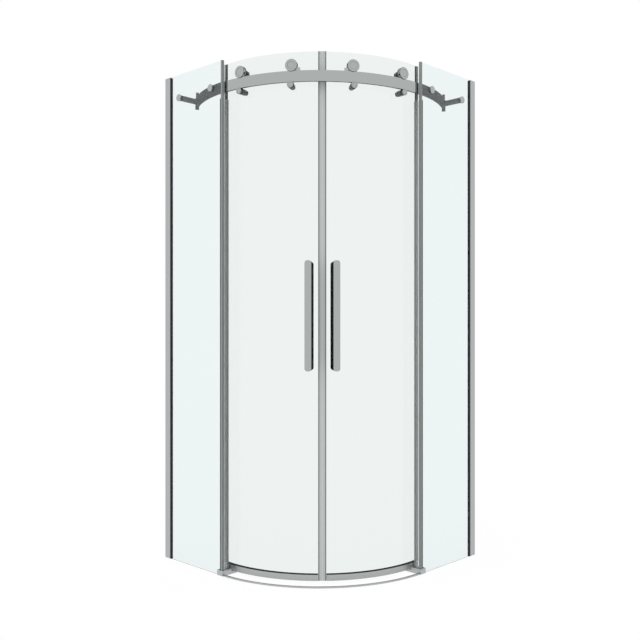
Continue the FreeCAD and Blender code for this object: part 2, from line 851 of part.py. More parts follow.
def handle_bolt_drills(side, name, outward):
    bore = size.handle_bolt_radius + size.thread_gap
    head_bore = size.handle_bolt_head + size.running_gap
    head_start = handle_inner_face - size.cut_overrun
    drills = []
    for index, height in enumerate(HANDLE_BOLT_HEIGHTS):
        drill_name = side.node(f"{name}_drill_{index}")
        if outward:
            drill = rod(drill_name, door_inner_radius, handle_bolt_end + size.running_gap, bore)
        else:
            drill = spindle(drill_name, [
                (head_start, 0), (size.door_radius, 0), (size.door_radius, bore),
                (handle_head_end, bore), (handle_head_end, head_bore), (head_start, head_bore),
            ])
        drills.append(place_on_arc(drill, side, size.handle_angle, height))
    return drills


def handles(side):
    outer = handle(side, "outer_handle", outer_seat, outer_seat + size.handle_depth)
    keep(outer, side.node("outer_handle"))
    inner = handle(side, "inner_handle", handle_inner_face, handle_inner_face)
    keep(inner, side.node("inner_handle"))
    bolts = []
    for index, height in enumerate(HANDLE_BOLT_HEIGHTS):
        bolt = spindle(side.node(f"handle_bolt_{index}"), [
            (handle_inner_face + size.running_gap, 0), (handle_bolt_end, 0),
            (handle_bolt_end, size.handle_bolt_radius), (handle_head_end, size.handle_bolt_radius),
            (handle_head_end, size.handle_bolt_head),
            (handle_inner_face + size.running_gap, size.handle_bolt_head),
        ])
        bolts.append(place_on_arc(bolt, side, size.handle_angle, height))
    keep(group(side.node("handle_bolts"), bolts), side.node("handle_bolts"))


# Wheels and axles
class WheelSize:
    """What differs between the rollers on top of the rail and the keeper wheels under it."""

    def __init__(self, kind, setback, height, tread, flange, head, cover, bush):
        self.kind = kind
        self.setback = setback
        self.height = height
        self.tread = tread
        self.flange = tread + flange
        self.head = head
        self.cover = cover
        self.bush = bush
        self.cap = bush - size.axle_cap_setback


ROLLER = WheelSize("roller", as_size(0), roller_height, size.roller_radius, size.flange_height,
                   size.axle_head_radius, size.roller_cover_radius, size.bush_radius)
KEEPER = WheelSize("keeper", size.keeper_setback, keeper_height, size.keeper_radius,
                   size.keeper_flange_height, size.keeper_head_radius, size.keeper_cover_radius,
                   size.keeper_bush_radius)
WHEEL_PLACES = [
    (position, angle + wheel.setback, wheel)
    for position, angle in AXLE_ANGLES.items()
    for wheel in (ROLLER, KEEPER)
]
cover_seat = wheel_outer_face - size.cover_depth
head_face = cover_seat - size.running_gap
head_back = head_face - size.axle_head_depth
axle_stud_end = inner_seat - size.axle_cap_depth + size.axle_cap_wall + size.thread_gap


def wheel_body(side, position, angle, wheel):
    """A grooved wheel, and the round cover that closes its front over the axle's head."""
    bore = size.axle_radius + size.axle_fit
    recess = wheel.head + size.running_gap
    recess_floor = head_back - size.axle_play
    groove_inner = rail_middle_radius - size.groove_half_width
    groove_outer = rail_middle_radius + size.groove_half_width
    edge = wheel_outer_face - size.wheel_edge
    name = side.node(f"{position}_{wheel.kind}")
    rim = spindle(f"{name}_rim", [
        (wheel_inner_face, bore), (recess_floor, bore), (recess_floor, recess), (cover_seat, recess),
        (cover_seat, wheel.cover), (wheel_outer_face, wheel.cover),
        (wheel_outer_face, wheel.flange - size.wheel_edge), (edge, wheel.flange),
        (groove_outer, wheel.flange), (groove_outer, wheel.tread), (groove_inner, wheel.tread),
        (groove_inner, wheel.flange), (wheel_inner_face, wheel.flange),
    ])
    cover_radius = wheel.cover - size.axle_fit
    cover = spindle(f"{name}_cover", [
        (cover_seat, 0), (wheel_outer_face, 0), (wheel_outer_face, cover_radius - size.wheel_edge),
        (edge, cover_radius), (cover_seat, cover_radius),
    ])
    for piece in (rim, cover):
        place_on_arc(piece, side, angle, wheel.height)
    return keep(group(name, [rim, cover]), name)


def axle(name, wheel):
    return spindle(name, [
        (axle_stud_end, 0), (head_face, 0), (head_face, wheel.head), (head_back, wheel.head),
        (head_back, size.axle_radius), (outer_seat, size.axle_radius), (outer_seat, size.axle_stud_radius),
        (axle_stud_end, size.axle_stud_radius),
    ])


def axle_cap(name, wheel):
    face = inner_seat - size.axle_cap_depth
    bore = size.axle_stud_radius + size.thread_gap
    bore_end = face + size.axle_cap_wall
    return spindle(name, [
        (face, 0), (bore_end, 0), (bore_end, bore), (inner_seat, bore), (inner_seat, wheel.cap),
        (bore_end, wheel.cap), (face, wheel.cap - size.axle_cap_wall),
    ])


def axles(side):
    pieces = {"roller_axles": [], "axle_bushes": [], "axle_caps": [], "glass_washers": []}
    stud_bore = size.axle_stud_radius + size.thread_gap
    for position, angle, wheel in WHEEL_PLACES:
        tag = side.node(f"{position}_{wheel.kind}")
        bush = sleeve(f"{tag}_bush", outer_seat, wheel_inner_face - size.axle_play,
                      size.axle_radius + size.thread_gap, wheel.bush)
        outside = sleeve(f"{tag}_outside_washer", size.door_radius, outer_seat, stud_bore, wheel.bush)
        inside = sleeve(f"{tag}_inside_washer", inner_seat, inner_washer_face, stud_bore, wheel.cap)
        made = {
            "roller_axles": [axle(f"{tag}_axle", wheel)],
            "axle_bushes": [bush],
            "axle_caps": [axle_cap(f"{tag}_cap", wheel)],
            "glass_washers": [outside, inside],
        }
        for kind, parts in made.items():
            for part in parts:
                pieces[kind].append(place_on_arc(part, side, angle, wheel.height))
    bolt_bore = size.handle_bolt_radius + size.thread_gap
    for index, height in enumerate(HANDLE_BOLT_HEIGHTS):
        outside = sleeve(side.node(f"handle_outside_washer_{index}"), size.door_radius, outer_seat,
                         bolt_bore, size.handle_washer_radius)
        inside = sleeve(side.node(f"handle_inside_washer_{index}"), inner_seat, inner_washer_face,
                        bolt_bore, size.handle_washer_radius)
        for part in (outside, inside):
            pieces["glass_washers"].append(place_on_arc(part, side, size.handle_angle, height))
    for kind, parts in pieces.items():
        keep(group(side.node(kind), parts), side.node(kind))


# Assembly
for side in SIDES:
    wall_profile(side)
    glazing_gasket(side)
    fixed_glass(side)
    edge_profile(side)
    overlap_seal(side)
    rail_rod(side)
    end_stop(side)
    floor_guide(side)
keep(group("profile_caps", [profile_cap(side) for side in SIDES]), "profile_caps")
roller_rail()
keep(group("closing_stops", [closing_stop(side) for side in SIDES]), "closing_stops")
keep(group("rail_spacers", [rail_spacer(side) for side in SIDES]), "rail_spacers")
rail_fixings()
keep(group("end_stop_bumpers", [bumper(side) for side in SIDES]), "end_stop_bumpers")
keep(group("guide_liners", [liner for side in SIDES for liner in guide_liner_pair(side)]), "guide_liners")
threshold_strip()
for side in SIDES:
    door_glass(side)
    meeting_seal(side)
    seal_magnet(side)
    trailing_seal(side)
    bottom_profile(side)
    bottom_gasket(side)
    handles(side)
    axles(side)
    for position, angle, wheel in WHEEL_PLACES:
        wheel_body(side, position, angle, wheel)
doc.recompute()

# Checks before anything is written
for part in doc.Objects:
    failed = [state for state in part.State if state in ("Invalid", "Error")]
    if failed:
        raise RuntimeError(f"{part.Label} did not compute: {failed}")
for node in nodes:
    if node.Shape.isNull() or not node.Shape.isValid() or not node.Shape.Solids:
        raise RuntimeError(f"{node.Label} has no valid solid")

# Output
os.makedirs("parts", exist_ok=True)
for node in nodes:
    node.Shape.exportStep(f"parts/{node.Label}.step")
    print(f"{node.Label}: {len(node.Shape.Solids)} solid(s), {node.Shape.Volume / 1000:.1f} cm3")
print(f"{len(nodes)} nodes")
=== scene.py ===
# %% [markdown]
# # A quarter-round shower enclosure
# Two flat fixed panes stand against two walls, and two curved doors hang between them on a curved steel
# rail. The shapes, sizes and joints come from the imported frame, so this lesson is about finishes, light and
# camera. A shower like this could be traced by eye instead, but a frame with real sizes keeps each piece
# where it fits.

# %% Load the frame
import math

import bpy
from mathutils import Matrix, Vector


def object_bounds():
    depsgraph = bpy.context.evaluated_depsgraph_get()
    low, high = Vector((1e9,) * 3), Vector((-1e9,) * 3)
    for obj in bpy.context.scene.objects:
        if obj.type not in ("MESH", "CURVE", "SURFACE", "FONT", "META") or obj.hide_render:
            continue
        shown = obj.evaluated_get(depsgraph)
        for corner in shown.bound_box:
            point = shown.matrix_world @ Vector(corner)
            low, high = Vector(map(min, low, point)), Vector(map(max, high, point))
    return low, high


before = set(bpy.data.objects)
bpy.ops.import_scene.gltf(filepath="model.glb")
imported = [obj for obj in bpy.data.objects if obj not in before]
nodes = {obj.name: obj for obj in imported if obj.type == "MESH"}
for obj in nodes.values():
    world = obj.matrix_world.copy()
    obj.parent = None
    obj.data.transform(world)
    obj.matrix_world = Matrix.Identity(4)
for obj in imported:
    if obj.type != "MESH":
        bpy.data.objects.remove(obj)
cad_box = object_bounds()

# %% [markdown]
# ## Helpers for finishes
# Each finish is a small node tree. Colours are picked as sRGB hex values, as a paint chart gives them, but
# shaders add up light, so they need linear values: one function turns the first into the second. Another
# adds a node with its settings and links in one line, which keeps a tree readable from left to right.
# A Mix node holds one set of sockets for plain values and another for colours, under the same names, so its
# sockets are picked by number.

# %% Colour and node helpers
MM = 0.001
SRGB_TOE, SRGB_SLOPE, SRGB_OFFSET, SRGB_POWER = 0.04045, 12.92, 0.055, 2.4
BRIGHTEST_BYTE = 255
VALUE_A, VALUE_B, VALUE_MIXED = 2, 3, 0
COLOUR_A, COLOUR_B, COLOUR_MIXED = 6, 7, 2


def linear(hex_colour):
    """An sRGB hex colour as linear red, green, blue and alpha."""
    channels = [int(hex_colour[start:start + 2], 16) / BRIGHTEST_BYTE for start in (1, 3, 5)]
    bright = [((c + SRGB_OFFSET) / (1 + SRGB_OFFSET)) ** SRGB_POWER for c in channels]
    return (*[c / SRGB_SLOPE if c <= SRGB_TOE else b for c, b in zip(channels, bright)], 1.0)


def add_node(tree, kind, inputs=None, **settings):
    """Adds a node, and fills its sockets with plain values or with links from other nodes' outputs."""
    node = tree.nodes.new(kind)
    for name, value in settings.items():
        setattr(node, name, value)
    for socket, value in (inputs or {}).items():
        if isinstance(value, bpy.types.NodeSocket):
            tree.links.new(value, node.inputs[socket])
        else:
            node.inputs[socket].default_value = value
    return node


def new_finish(name, **sockets):
    """A material with its Principled shader's plain values set; returns its tree, shader and place too."""
    material = bpy.data.materials.new(name)
    material.use_nodes = True
    tree = material.node_tree
    shader = tree.nodes["Principled BSDF"]
    for socket, value in sockets.items():
        shader.inputs[socket.replace("_", " ")].default_value = value
    place = add_node(tree, "ShaderNodeTexCoord").outputs["Object"]
    return material, tree, shader, place


print("helpers ready")

# %% [markdown]
# ## Finding a place on the curve
# Rail, doors and seals all follow one arc. A belt polished the rail along that arc, and a seal's lip begins
# at a certain angle of it, so some finishes need to know the angle. A texture drawn on an unrolled strip
# would do it too, but then each piece would need unrolling. Turning Object coordinates until X runs along
# the corner's diagonal, with zero at the arc's centre, lets one arctangent give the angle for every piece.

# %% Angle on the arc
ARC_OFFSET = 92 * MM
ARC_CENTRE = Vector((-ARC_OFFSET, ARC_OFFSET, 0))
DIAGONAL_TURN = math.radians(45)


def arc_angle(tree, place):
    """The angle from the corner's diagonal to either side, in radians, as seen from the arc's centre."""
    turned = add_node(tree, "ShaderNodeMapping", {
        "Vector": place, "Location": (ARC_CENTRE.length, 0, 0), "Rotation": (0, 0, DIAGONAL_TURN)})
    parts = add_node(tree, "ShaderNodeSeparateXYZ", {"Vector": turned.outputs["Vector"]})
    angle = add_node(tree, "ShaderNodeMath", {
        0: parts.outputs["Y"], 1: parts.outputs["X"]}, operation="ARCTAN2")
    return add_node(tree, "ShaderNodeMath", {0: angle.outputs[0]}, operation="ABSOLUTE").outputs[0]


print(f"the arc's centre lies {ARC_CENTRE.length:.3f} m behind the middle of the square")

# %% [markdown]
# ## Toughened glass
# The panes are 6 mm float glass that was heated and quenched. Iron in the melt takes out a little red, so
# white seen through a pane goes faintly green, and more so where light runs a longer way through it.
# A tint on the surface would be the same everywhere; absorption in the volume follows the thickness by
# itself. Toughening rollers leave a very long, very shallow wave. Lamps would be stopped by refracting
# glass, so rays that only ask for light pass straight through.
# The bent panes of the doors are evenly grey in the picture, although the curve turns them away at the
# sides, and they mirror almost nothing. A coat against glare does both: it is a tint on the faces of a very
# clear glass, and a lower index gives its weak mirror image to the eye.

# %% Glass
GLASS_TAKES = 40.0
FLAT_GLASS_KEEPS = (0.435, 0.655, 0.665, 1.0)
BENT_GLASS_KEEPS = (0.98, 0.99, 0.985, 1.0)
NO_COAT = "#ffffff"
GLARE_COAT = "#eef3f1"
GLASS_IOR = 1.52
COATED_GLASS_IOR = 1.2
ROLLER_WAVE = 260 * MM
ROLLER_WAVE_DEPTH = 0.02 * MM


def toughened_glass(name, index, coat, keeps):
    """Clear glass of an index; a coat is a colour on its faces, and keeps is what its body lets by."""
    material, tree, shader, place = new_finish(
        name, Base_Color=linear(coat), Transmission_Weight=1.0, Roughness=0.0, IOR=index)
    wave = add_node(tree, "ShaderNodeTexNoise", {"Vector": place, "Scale": 1 / ROLLER_WAVE, "Detail": 0.0})
    bump = add_node(tree, "ShaderNodeBump", {"Height": wave.outputs["Fac"], "Distance": ROLLER_WAVE_DEPTH})
    tree.links.new(bump.outputs["Normal"], shader.inputs["Normal"])
    rays = add_node(tree, "ShaderNodeLightPath")
    clear = add_node(tree, "ShaderNodeBsdfTransparent")
    mix = add_node(tree, "ShaderNodeMixShader", {
        "Fac": rays.outputs["Is Shadow Ray"], 1: shader.outputs["BSDF"], 2: clear.outputs["BSDF"]})
    body = add_node(tree, "ShaderNodeVolumeAbsorption", {"Color": keeps, "Density": GLASS_TAKES})
    output = tree.nodes["Material Output"]
    tree.links.new(mix.outputs["Shader"], output.inputs["Surface"])
    tree.links.new(body.outputs["Volume"], output.inputs["Volume"])
    return material


flat_glass = toughened_glass("glass_float_toughened_flat", GLASS_IOR, NO_COAT, FLAT_GLASS_KEEPS)
bent_glass = toughened_glass(
    "glass_float_toughened_bent_coated", COATED_GLASS_IOR, GLARE_COAT, BENT_GLASS_KEEPS)
print(f"{flat_glass.name} and {bent_glass.name}: {len(flat_glass.node_tree.nodes)} nodes each")

# %% [markdown]
# ## Buffed stainless steel
# The rail, its fixings and the handles are steel that a polishing wheel has buffed: bright, but with a haze
# that comes and goes over a few centimetres. Roughness from soft noise gives that, where one even value
# looks like a mirror from a toy. Noise seldom leaves the middle of its range, so that middle is spread over
# the whole haze. The rail's underside is painted shade: a dark, dull steel that stands in for the shade
# beneath it.

# %% Steel
STEEL_COLOUR = "#abb0ae"
# Painted shade: a dark grey for the rail's underside, standing in for the shade beneath the rail.
UNDERSIDE_SHADE_COLOUR = "#6e7371"
BUFFING_PATCH = 35 * MM
STEEL_HAZE = (0.09, 0.17)
UNDERSIDE_HAZE = (0.35, 0.5)
BELT_SHARE = 0.5
NOISE_LOW, NOISE_HIGH = 0.3, 0.7


def buffed_steel(name, colour, haze, belt=None):
    """Steel with patches of haze, and belt lines where a place for them is given."""
    material, tree, shader, place = new_finish(name, Metallic=1.0, Base_Color=linear(colour))
    patches = add_node(tree, "ShaderNodeTexNoise", {
        "Vector": place, "Scale": 1 / BUFFING_PATCH, "Detail": 3.0})
    cloudy = patches.outputs["Fac"]
    if belt:
        lines = add_node(tree, "ShaderNodeTexNoise", {
            "Vector": belt(tree, place), "Scale": 1.0, "Detail": 2.0})
        both = add_node(tree, "ShaderNodeMix", {
            "Factor": BELT_SHARE, VALUE_A: cloudy, VALUE_B: lines.outputs["Fac"]}, data_type="FLOAT")
        cloudy = both.outputs[VALUE_MIXED]
    rough = add_node(tree, "ShaderNodeMapRange", {
        "Value": cloudy, "From Min": NOISE_LOW, "From Max": NOISE_HIGH, "To Min": haze[0], "To Max": haze[1]})
    tree.links.new(rough.outputs["Result"], shader.inputs["Roughness"])
    return material


steel = buffed_steel("stainless_steel_buffed", STEEL_COLOUR, STEEL_HAZE)
# Dark, dull steel as painted shade for the rail's underside.
underside_shade_steel = buffed_steel("stainless_steel_painted_shade_underside", UNDERSIDE_SHADE_COLOUR, UNDERSIDE_HAZE)
for material in (steel, underside_shade_steel):
    print(f"{material.name}: {len(material.node_tree.nodes)} nodes")

# %% [markdown]
# ## Belted steel
# Rail and handles were ground on a belt before they were buffed, which leaves fine lines along their length.
# Lines could be drawn one by one, but noise that is stretched along the run has their uneven rhythm. It runs
# upwards on the handles, and on the rail it follows the angle on the arc. A picture dot covers four
# millimetres here, so the lines are drawn coarser than they are.

# %% Belted steel
BELT_LINE = 2.5 * MM
BELT_RUN = 250 * MM
RAIL_RADIUS = 525 * MM


def upright_belt(tree, place):
    """A place that is stretched upwards, for the handles."""
    return add_node(tree, "ShaderNodeMapping", {
        "Vector": place, "Scale": (1 / BELT_LINE, 1 / BELT_LINE, 1 / BELT_RUN)}).outputs["Vector"]


def arc_belt(tree, place):
    """A place that is stretched along the arc, for the rail."""
    height = add_node(tree, "ShaderNodeSeparateXYZ", {"Vector": place}).outputs["Z"]
    run = add_node(tree, "ShaderNodeMath", {
        0: arc_angle(tree, place), 1: RAIL_RADIUS / BELT_RUN}, operation="MULTIPLY").outputs[0]
    line = add_node(tree, "ShaderNodeMath", {0: height, 1: BELT_LINE}, operation="DIVIDE").outputs[0]
    return add_node(tree, "ShaderNodeCombineXYZ", {"X": run, "Z": line}).outputs["Vector"]


rail_steel = buffed_steel("stainless_steel_belted_along_rail", STEEL_COLOUR, STEEL_HAZE, arc_belt)
handle_steel = buffed_steel("stainless_steel_belted_upright", STEEL_COLOUR, STEEL_HAZE, upright_belt)
for material in (rail_steel, handle_steel):
    print(f"{material.name}: {len(material.node_tree.nodes)} nodes")

# %% [markdown]
# ## Satin anodised aluminium
# Wall and bottom profiles are extruded aluminium, etched and anodised. The etch scatters light, so faces
# keep an even grey from any side, and the die leaves fine lines along the length of the bar.
# The lines are finer than a picture dot here, so they are drawn a few times coarser than they are.

# %% Aluminium
ALUMINIUM_COLOUR = "#b8bbbb"
SATIN_HAZE = (0.38, 0.5)
DIE_LINE = 1.6 * MM
DIE_RUN = 400 * MM


def satin_aluminium():
    material, tree, shader, place = new_finish(
        "aluminium_satin_anodised", Metallic=1.0, Base_Color=linear(ALUMINIUM_COLOUR))
    stretched = add_node(tree, "ShaderNodeMapping", {
        "Vector": place, "Scale": (1 / DIE_LINE, 1 / DIE_LINE, 1 / DIE_RUN)})
    lines = add_node(tree, "ShaderNodeTexNoise", {"Vector": stretched.outputs["Vector"], "Scale": 1.0})
    rough = add_node(tree, "ShaderNodeMapRange", {
        "Value": lines.outputs["Fac"], "From Min": NOISE_LOW, "From Max": NOISE_HIGH,
        "To Min": SATIN_HAZE[0], "To Max": SATIN_HAZE[1]})
    tree.links.new(rough.outputs["Result"], shader.inputs["Roughness"])
    return material


aluminium = satin_aluminium()
print(f"{aluminium.name}: {len(aluminium.node_tree.nodes)} nodes")

# %% [markdown]
# ## A recipe for rubber and plastics
# None of the soft pieces is metal: light that enters comes back with their colour. Each gets a fine mottle
# in colour and a matching change in gloss, because moulded surfaces are never quite even. A die draws that
# mottle out into faint lines along an extruded strip, so there it is stretched upward.
# The door seals are drawn from two grades of vinyl at once: a pale stiff body, and a darker soft lip on the
# glass. The lip could be a piece of its own, but it is one strip on the real door, so only its colour
# changes, between two angles. With an alpha below one, what lies behind a thin sheet shows through; light
# passes both skins of the sheet, so one skin lets most of it by. A lip is always solid.

# %% Recipe for rubber and plastics
MOTTLE = 3 * MM
GLOSS_CHANGE = 0.06
DRAWN_OUT = (1, 1, 0.01)
EVEN = (1, 1, 1)


def between_angles(tree, place, low, high):
    """1 between two angles on the arc, in degrees, and 0 elsewhere."""
    angle = arc_angle(tree, place)
    past = add_node(tree, "ShaderNodeMath", {0: angle, 1: math.radians(low)}, operation="GREATER_THAN")
    short = add_node(tree, "ShaderNodeMath", {0: angle, 1: math.radians(high)}, operation="LESS_THAN")
    return add_node(tree, "ShaderNodeMath", {
        0: past.outputs[0], 1: short.outputs[0]}, operation="MULTIPLY").outputs[0]


def moulded(name, dark, light, roughness, lip=None, alpha=1.0, stretch=DRAWN_OUT):
    """A non-metal with a fine mottle between two colours; a lip is a colour and two angles in degrees."""
    material, tree, shader, place = new_finish(name, Alpha=alpha)
    drawn = add_node(tree, "ShaderNodeMapping", {"Vector": place, "Scale": stretch})
    mottle = add_node(tree, "ShaderNodeTexNoise", {
        "Vector": drawn.outputs["Vector"], "Scale": 1 / MOTTLE, "Detail": 3.0})
    colour = add_node(tree, "ShaderNodeMix", {
        "Factor": mottle.outputs["Fac"], COLOUR_A: linear(dark), COLOUR_B: linear(light)}, data_type="RGBA")
    if lip:
        lip_colour, low, high = lip
        within = between_angles(tree, place, low, high)
        colour = add_node(tree, "ShaderNodeMix", {
            "Factor": within, COLOUR_A: colour.outputs[COLOUR_MIXED], COLOUR_B: linear(lip_colour)},
            data_type="RGBA")
        if alpha < 1:
            solid = add_node(tree, "ShaderNodeMapRange", {"Value": within, "To Min": alpha})
            tree.links.new(solid.outputs["Result"], shader.inputs["Alpha"])
    rough = add_node(tree, "ShaderNodeMapRange", {
        "Value": mottle.outputs["Fac"],
        "To Min": roughness - GLOSS_CHANGE, "To Max": roughness + GLOSS_CHANGE})
    tree.links.new(colour.outputs[COLOUR_MIXED], shader.inputs["Base Color"])
    tree.links.new(rough.outputs["Result"], shader.inputs["Roughness"])
    return material


print(f"mottle: {MOTTLE / MM:.0f} mm")

# %% [markdown]
# ## Vinyl seals
# The strips on the glass edges, the seals of the doors and the thin seals that overlap them are extruded
# vinyl, smooth from the die, so they have a soft shine. They could all share one grey, but in the picture
# the body of each door seal is paler than its lips, and what hooks behind a door is half clear.

# %% Vinyl seals
# Grey right through, for the caps on the edges of the fixed panes.
vinyl = moulded("vinyl_grey_extruded", "#7b8180", "#8b9190", 0.35)
# A lighter grey, for the washers on the glass.
pale_vinyl = moulded("vinyl_light_grey_extruded", "#a3a8a6", "#b2b7b5", 0.35)
# So thin that it only greys what lies behind it.
clear_vinyl = moulded("vinyl_half_clear_extruded", "#cdd2d1", "#d7dcdb", 0.35, alpha=0.1)
# Half clear, with one dark line where its solid lip stands.
overlap_vinyl = moulded(
    "vinyl_half_clear_with_lip", "#cdd2d1", "#d7dcdb", 0.35, lip=("#474c4a", 45.4, 46.4), alpha=0.18)
# A pale body between two dark lines, in the middle of the front.
meeting_vinyl = moulded("vinyl_pale_with_two_lips", "#b2b7b5", "#bfc4c2", 0.35, lip=("#747977", 1.2, 5.0))
# A grey body, a shade darker where it grips the glass.
trailing_vinyl = moulded(
    "vinyl_grey_with_lip_on_glass", "#979c9a", "#a4a9a7", 0.35, lip=("#7f8482", 40.0, 48.7))
print("six kinds of vinyl")

# %% [markdown]
# ## Rubber, acetal, nylon and ferrite
# Gaskets are extruded rubber and bumpers are moulded, the rollers' bushes are turned black acetal, the
# keepers and their bushes a dark grey one, the guide liners are white nylon, and the magnets are strips of
# ferrite powder in rubber. The same recipe makes them all; colour and dullness tell them apart.

# %% Rubber, acetal, nylon and ferrite
# Nearly black and dull, so that it reads as a dark line beside the profiles.
rubber = moulded("rubber_black_extruded", "#1e2121", "#2a2d2d", 0.7)
# Dark grey and dull, with a mottle that runs no way in particular.
bumper_rubber = moulded("rubber_grey_moulded", "#474b4a", "#525655", 0.6, stretch=EVEN)
# Black with a soft shine from the lathe.
acetal = moulded("acetal_black_turned", "#26292a", "#313535", 0.4, stretch=EVEN)
# Dark grey with a soft shine from the lathe.
grey_acetal = moulded("acetal_dark_grey_turned", "#5d615f", "#696d6b", 0.45, stretch=EVEN)
# White, and neither dull nor shiny.
nylon = moulded("nylon_white_moulded", "#d4d6d3", "#dee0dd", 0.5, stretch=EVEN)
# Dark and dull, hidden in the seals.
ferrite = moulded("ferrite_strip_flexible", "#2b2b2c", "#383839", 0.7)
print("six kinds of rubber, plastic and ferrite")

# %% [markdown]
# ## Painted shade on the handle sides
# The sides of the handles are painted shade: a matt black under the bright steel face, standing in for the
# dim cabin that steel sides would mirror through the door. Black with a shine would turn grey where it is
# seen at a slant, because every shiny surface mirrors more there, so this black has almost no shine. A grain
# of a couple of millimetres gives a slight change of the black.

# %% Painted shade black for the handle sides
PAINTED_SHADE_GRAIN = 2 * MM
PAINTED_SHADE_DARK, PAINTED_SHADE_LIGHT = "#0e1010", "#151717"


def matt_black():
    material, tree, shader, place = new_finish(
        "matt_black_painted_shade", Roughness=0.8, Specular_IOR_Level=0.05)
    grain = add_node(tree, "ShaderNodeTexNoise", {"Vector": place, "Scale": 1 / PAINTED_SHADE_GRAIN, "Detail": 2.0})
    colour = add_node(tree, "ShaderNodeMix", {
        "Factor": grain.outputs["Fac"], COLOUR_A: linear(PAINTED_SHADE_DARK), COLOUR_B: linear(PAINTED_SHADE_LIGHT)},
        data_type="RGBA")
    tree.links.new(colour.outputs[COLOUR_MIXED], shader.inputs["Base Color"])
    return material


black = matt_black()
print(f"{black.name}: {len(black.node_tree.nodes)} nodes")

# %% [markdown]
# ## Dressing the nodes
# Every piece of the frame takes a finish from what it is made of. Each could be dressed by its full name,
# but left and right pieces are alike, so the table goes by the end of a name, and the first match wins.

# %% Dress the nodes
FINISHES = (
    ("door_glass", bent_glass), ("fixed_glass", flat_glass),
    ("gasket", rubber), ("bumpers", bumper_rubber), ("magnet", ferrite),
    ("meeting_seal", meeting_vinyl), ("trailing_seal", trailing_vinyl), ("overlap_seal", overlap_vinyl),
    ("edge_profile", vinyl), ("washers", pale_vinyl), ("bushes", acetal), ("liners", nylon),
    ("wall_profile", aluminium), ("bottom_profile", aluminium), ("profile_caps", aluminium),
    ("threshold_strip", aluminium), ("floor_guide", aluminium),
    ("roller_rail", rail_steel), ("handle", handle_steel), ("", steel),
)
for name, piece in nodes.items():
    finish = next(material for ending, material in FINISHES if name.endswith(ending))
    piece.data.materials.clear()
    piece.data.materials.append(finish)
print({name: nodes[name].data.materials[0].name for name in sorted(nodes)[:4]})

# %% [markdown]
# ## A second material on some faces, for painted shade
# A handle, wheel or rail is one piece, and it is not cut up for a second colour. Each face of a mesh
# can point at its own material slot, and the way a face looks, its normal, tells which one it needs. Faces of
# a handle that look neither into the room nor into the cabin are its sides, and the rail's faces that look
# down are its underside. Both get painted shade: black on the handle sides, dark dull steel under the rail.

# %% Handle sides and rail underside
SIDES = ("left", "right")
LEVEL = Vector((1, 1, 0))
FACING = 0.5
LOOKS_DOWN = -0.9


def dress_faces(name, finish, chosen):
    """Points the chosen faces at a second finish."""
    mesh = nodes[name].data
    mesh.materials.append(finish)
    faces = [face for face in mesh.polygons if chosen(face)]
    for face in faces:
        face.material_index = len(mesh.materials) - 1
    print(f"{name}: {len(faces)} of {len(mesh.polygons)} faces in {finish.name}")


def middle_of(name):
    """The middle of a piece's box."""
    corners = [Vector(corner) for corner in nodes[name].bound_box]
    return sum(corners, Vector()) / len(corners)


def from_arc_axis(point):
    """The level way from the arc's upright axis to a point."""
    return (point - ARC_CENTRE) * LEVEL


# The handle sides get painted shade: black that stands in for the dim cabin they would mirror.
for side in SIDES:
    for name in (f"{side}_outer_handle", f"{side}_inner_handle"):
        through_door = from_arc_axis(middle_of(name)).normalized()
        dress_faces(name, black, lambda face: abs(face.normal.dot(through_door)) < FACING)
# The rail's underside gets painted shade: dark, dull steel for the shade beneath the rail.
dress_faces("roller_rail", underside_shade_steel, lambda face: face.normal.z < LOOKS_DOWN)

# %% [markdown]
# ## Wheels, bushes and hooks
# Where a normal is not enough, the place of a face helps: the rims of a roller's flanges lie farthest from
# its axle, a keeper wheel is dark all round, its bush lies below the rail, and the hook of a trailing seal
# lies farther from the arc's axis than the rest of the seal. Painting these by hand would hold for one mesh
# only; a rule holds for all the wheels, and after a change of size too.

# %% Wheels, bushes and hooks
ALONG_AXLE = 0.9
RIMS = {"roller": (21.5 * MM, acetal), "keeper": (8 * MM, grey_acetal)}
HOOK_RADIUS = 494.5 * MM
rail_bottom = min(corner[2] for corner in nodes["roller_rail"].bound_box)


def dress_rims(name, radius, finish):
    """Dresses the faces of a wheel that look away from its axle and lie farther from it than a radius."""
    middle = middle_of(name)
    axle = from_arc_axis(middle).normalized()

    def is_rim(face):
        away = face.center - middle
        away -= axle * away.dot(axle)
        return abs(face.normal.dot(axle)) < ALONG_AXLE and away.length > radius

    dress_faces(name, finish, is_rim)


for side in SIDES:
    for wheel, (radius, finish) in RIMS.items():
        for position in ("lead", "tail"):
            dress_rims(f"{side}_{position}_{wheel}", radius, finish)
    dress_faces(f"{side}_axle_bushes", grey_acetal, lambda face: face.center.z < rail_bottom)
    dress_faces(f"{side}_trailing_seal", clear_vinyl,
                lambda face: from_arc_axis(face.center).length > HOOK_RADIUS)

# %% [markdown]
# ## What reflections see
# The enclosure stands in an even white studio, and metal in front of the glass mirrors that white. The
# rail's tails and the rods behind the fixed panes mirror the dim inside of the cabin instead, and are dark
# grey in the picture. Painting them dark would be wrong from any other side. Light Path tells how often a
# ray was mirrored and how often it crossed glass, so the room can be white to most rays and dim to a mirror
# image that is seen through a pane. A ray that only bounced inside one pane crosses it twice and comes out
# last of all, so it still meets white.

# %% Room brightness by kind of ray
BEHIND_PANE = 0.06
NOT_ONCE = 0.5
ONE_PANE = 2.5


